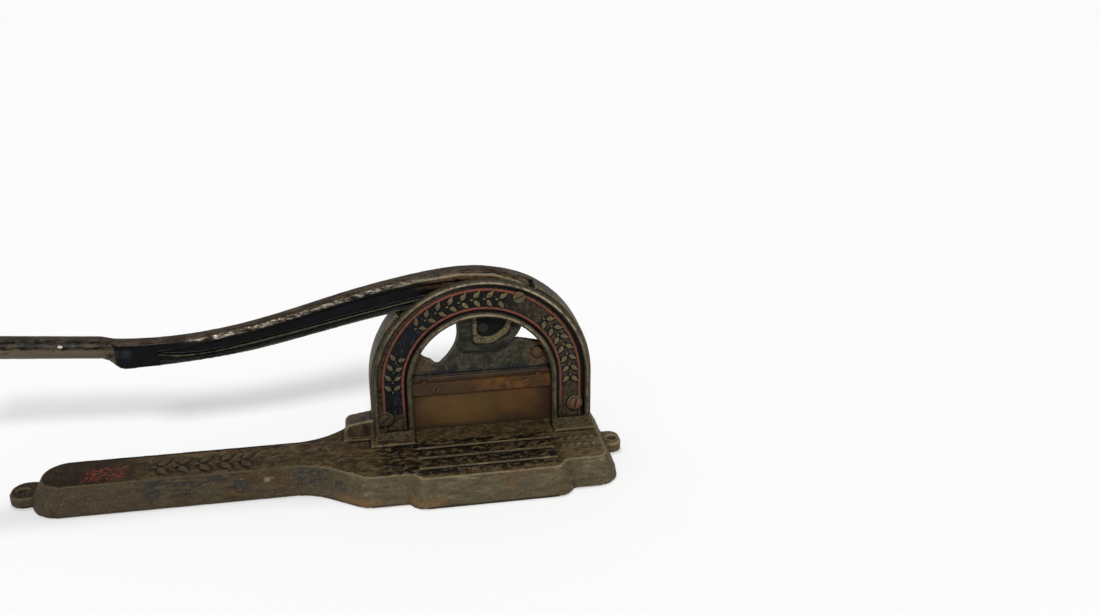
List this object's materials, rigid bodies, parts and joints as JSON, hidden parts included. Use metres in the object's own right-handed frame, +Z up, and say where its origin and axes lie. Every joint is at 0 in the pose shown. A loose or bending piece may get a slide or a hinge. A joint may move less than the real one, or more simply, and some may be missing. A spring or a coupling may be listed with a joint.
{
  "type": "counter plug cutter",
  "caption": "Lever-driven counter cutter: a cast arch on a long low base guides a straight blade that a side lever drives down onto a ribbed table.",
  "frame": {"origin": "on the standing plane, under the centre of the arch's half circles, in the blade's mid-plane", "axes": "+X along the base away from the handle, +Y to the back of the arch, +Z up; the operator stands at -Y"},
  "size_m": [0.4572, 0.109, 0.134],
  "materials": {
    "base_iron": "old japanning worn to brown rust, pitted",
    "japanned_frame": "worn black japanning over cast iron",
    "japanned_plate": "black japanning with worn red lining and rubbed raised work",
    "japanned_lever": "glossy black japanning, chipped bright along the edges",
    "carrier_iron": "grey-green with rust at the edges",
    "blade_steel": "brown rust bloom, faint grinding marks",
    "guide_steel": "dull steel, oiled and stained",
    "turned_steel": "rust-browned turned steel"
  },
  "bodies": {
    "stand": {"base": "base_iron", "rear_frame": "japanned_frame", "front_plate": "japanned_plate", "pivot_bolt": "turned_steel", "pivot_spacer": "turned_steel", "pivot_washer": "turned_steel", "pivot_nut": "turned_steel", "guide_left": "guide_steel", "guide_right": "guide_steel", "leg_screws": "turned_steel", "leg_nuts": "turned_steel", "base_screws": "turned_steel"},
    "hand_lever": {"lever": "japanned_lever", "drive_pin": "turned_steel"},
    "cutter_slide": {"blade_carrier": "carrier_iron", "blade": "blade_steel", "clamp_bar": "blade_steel", "clamp_screws": "turned_steel", "blade_dowels": "turned_steel", "carrier_stud": "turned_steel"}
  },
  "joints": [
    {"name": "lever_swing", "type": "hinge", "parent": "stand", "child": "hand_lever", "pos_m": [0.0255, 0, 0.1143], "axis": [0, 1, 0], "range_deg": [0, 52]},
    {"name": "cutter_travel", "type": "slide", "parent": "stand", "child": "cutter_slide", "axis": [0, 0, 1], "range_m": [0, 0.02738]}
  ],
  "couplings": [
    {"joint": "cutter_travel", "follows": "lever_swing", "m_per_rad": 0.030142}
  ]
}
